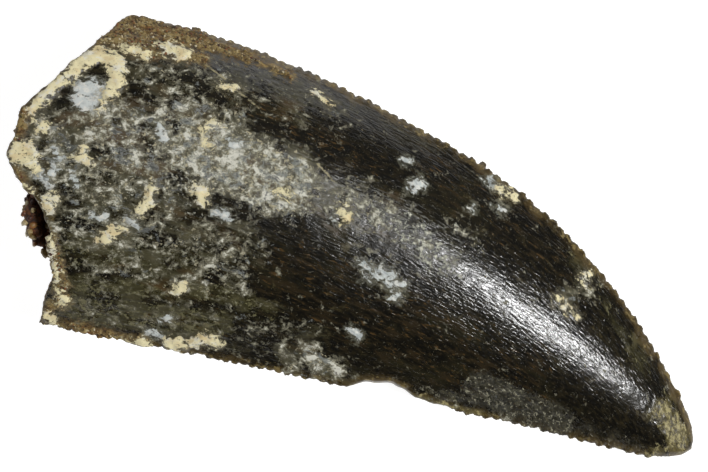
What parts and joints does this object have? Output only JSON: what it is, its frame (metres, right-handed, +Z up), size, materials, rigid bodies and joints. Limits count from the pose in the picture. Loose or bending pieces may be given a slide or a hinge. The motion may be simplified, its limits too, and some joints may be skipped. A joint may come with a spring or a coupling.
{
  "type": "fossil raptor tooth",
  "caption": "Curved, flattened fossil tooth crown with finely serrated edges, broken off at the base, where sandstone fills its pulp cavity.",
  "frame": {"origin": "under the middle of the tooth's box, on the surface that it lies on", "axes": "+X from the broken base to the tip, +Z up, out of the outer (labial) face; the long curved front (mesial) edge is on the +Y side"},
  "size_m": [0.0242, 0.0112, 0.0046],
  "materials": {
    "fossil_enamel": "satin",
    "sandstone": "matte"
  },
  "bodies": {
    "root": {"tooth_crown": "fossil_enamel", "matrix_fill": "sandstone"}
  },
  "joints": []
}
